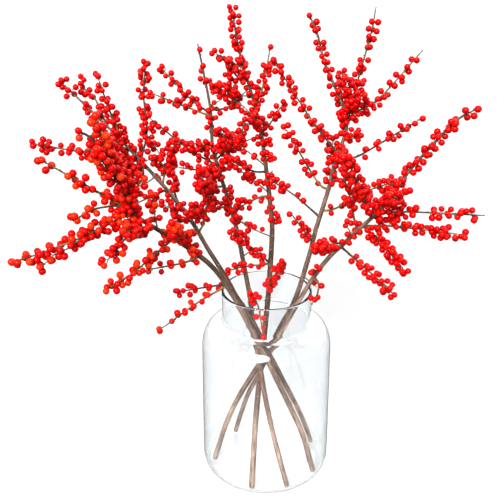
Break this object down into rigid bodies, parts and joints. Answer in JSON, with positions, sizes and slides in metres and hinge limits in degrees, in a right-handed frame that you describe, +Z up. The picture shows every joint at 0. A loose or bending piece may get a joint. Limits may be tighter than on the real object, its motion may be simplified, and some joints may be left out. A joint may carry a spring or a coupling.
{
  "type": "winterberry branches in a glass jar",
  "caption": "Cut, leafless winterberry holly branches set with round red berries, fanning out of a wide-mouthed clear glass jar with a short neck.",
  "frame": {"origin": "centre of the jar's flat underside, on the surface it stands on", "axes": "+Z up along the jar's axis; -Y towards the front view; +X to the right of the front view, away from the fuller, nearer left-hand sprays"},
  "size_m": [0.4894, 0.3107, 0.5691],
  "materials": {
    "clear_glass": "polished",
    "bark": "matte",
    "berry_skin": "gloss"
  },
  "bodies": {
    "root": {"berries_left_back_01": "berry_skin", "berries_left_back_02": "berry_skin", "berries_left_back_03": "berry_skin", "berries_left_back_04": "berry_skin", "berries_left_back_05": "berry_skin", "berries_left_back_07": "berry_skin", "berries_left_back_09": "berry_skin", "berries_left_back_leader": "berry_skin", "berries_left_front_01": "berry_skin", "berries_left_front_02": "berry_skin", "berries_left_front_03": "berry_skin", "berries_left_front_04": "berry_skin", "berries_left_front_05": "berry_skin", "berries_left_front_06": "berry_skin", "berries_left_front_07": "berry_skin", "berries_left_front_08": "berry_skin", "berries_left_front_09": "berry_skin", "berries_left_front_10": "berry_skin", "berries_left_front_leader": "berry_skin", "berries_middle_01": "berry_skin", "berries_middle_02": "berry_skin", "berries_middle_04": "berry_skin", "berries_middle_05": "berry_skin", "berries_middle_06": "berry_skin", "berries_middle_08": "berry_skin", "berries_middle_09": "berry_skin", "berries_middle_leader": "berry_skin", "berries_middle_left_01": "berry_skin", "berries_middle_left_02": "berry_skin", "berries_middle_left_03": "berry_skin", "berries_middle_left_06": "berry_skin", "berries_middle_left_08": "berry_skin", "berries_middle_left_09": "berry_skin", "berries_middle_left_10": "berry_skin", "berries_middle_left_leader": "berry_skin", "berries_right_back_01": "berry_skin", "berries_right_back_02": "berry_skin", "berries_right_back_03": "berry_skin", "berries_right_back_05": "berry_skin", "berries_right_back_06": "berry_skin", "berries_right_back_07": "berry_skin", "berries_right_back_08": "berry_skin", "berries_right_back_11": "berry_skin", "berries_right_back_leader": "berry_skin", "berries_right_front_01": "berry_skin", "berries_right_front_02": "berry_skin", "berries_right_front_03": "berry_skin", "berries_right_front_04": "berry_skin", "berries_right_front_05": "berry_skin", "berries_right_front_06": "berry_skin", "berries_right_front_07": "berry_skin", "berries_right_front_08": "berry_skin", "berries_right_front_leader": "berry_skin", "branch_left_back": "bark", "branch_left_front": "bark", "branch_middle": "bark", "branch_middle_left": "bark", "branch_right_back": "bark", "branch_right_front": "bark", "jar": "clear_glass"}
  },
  "joints": []
}
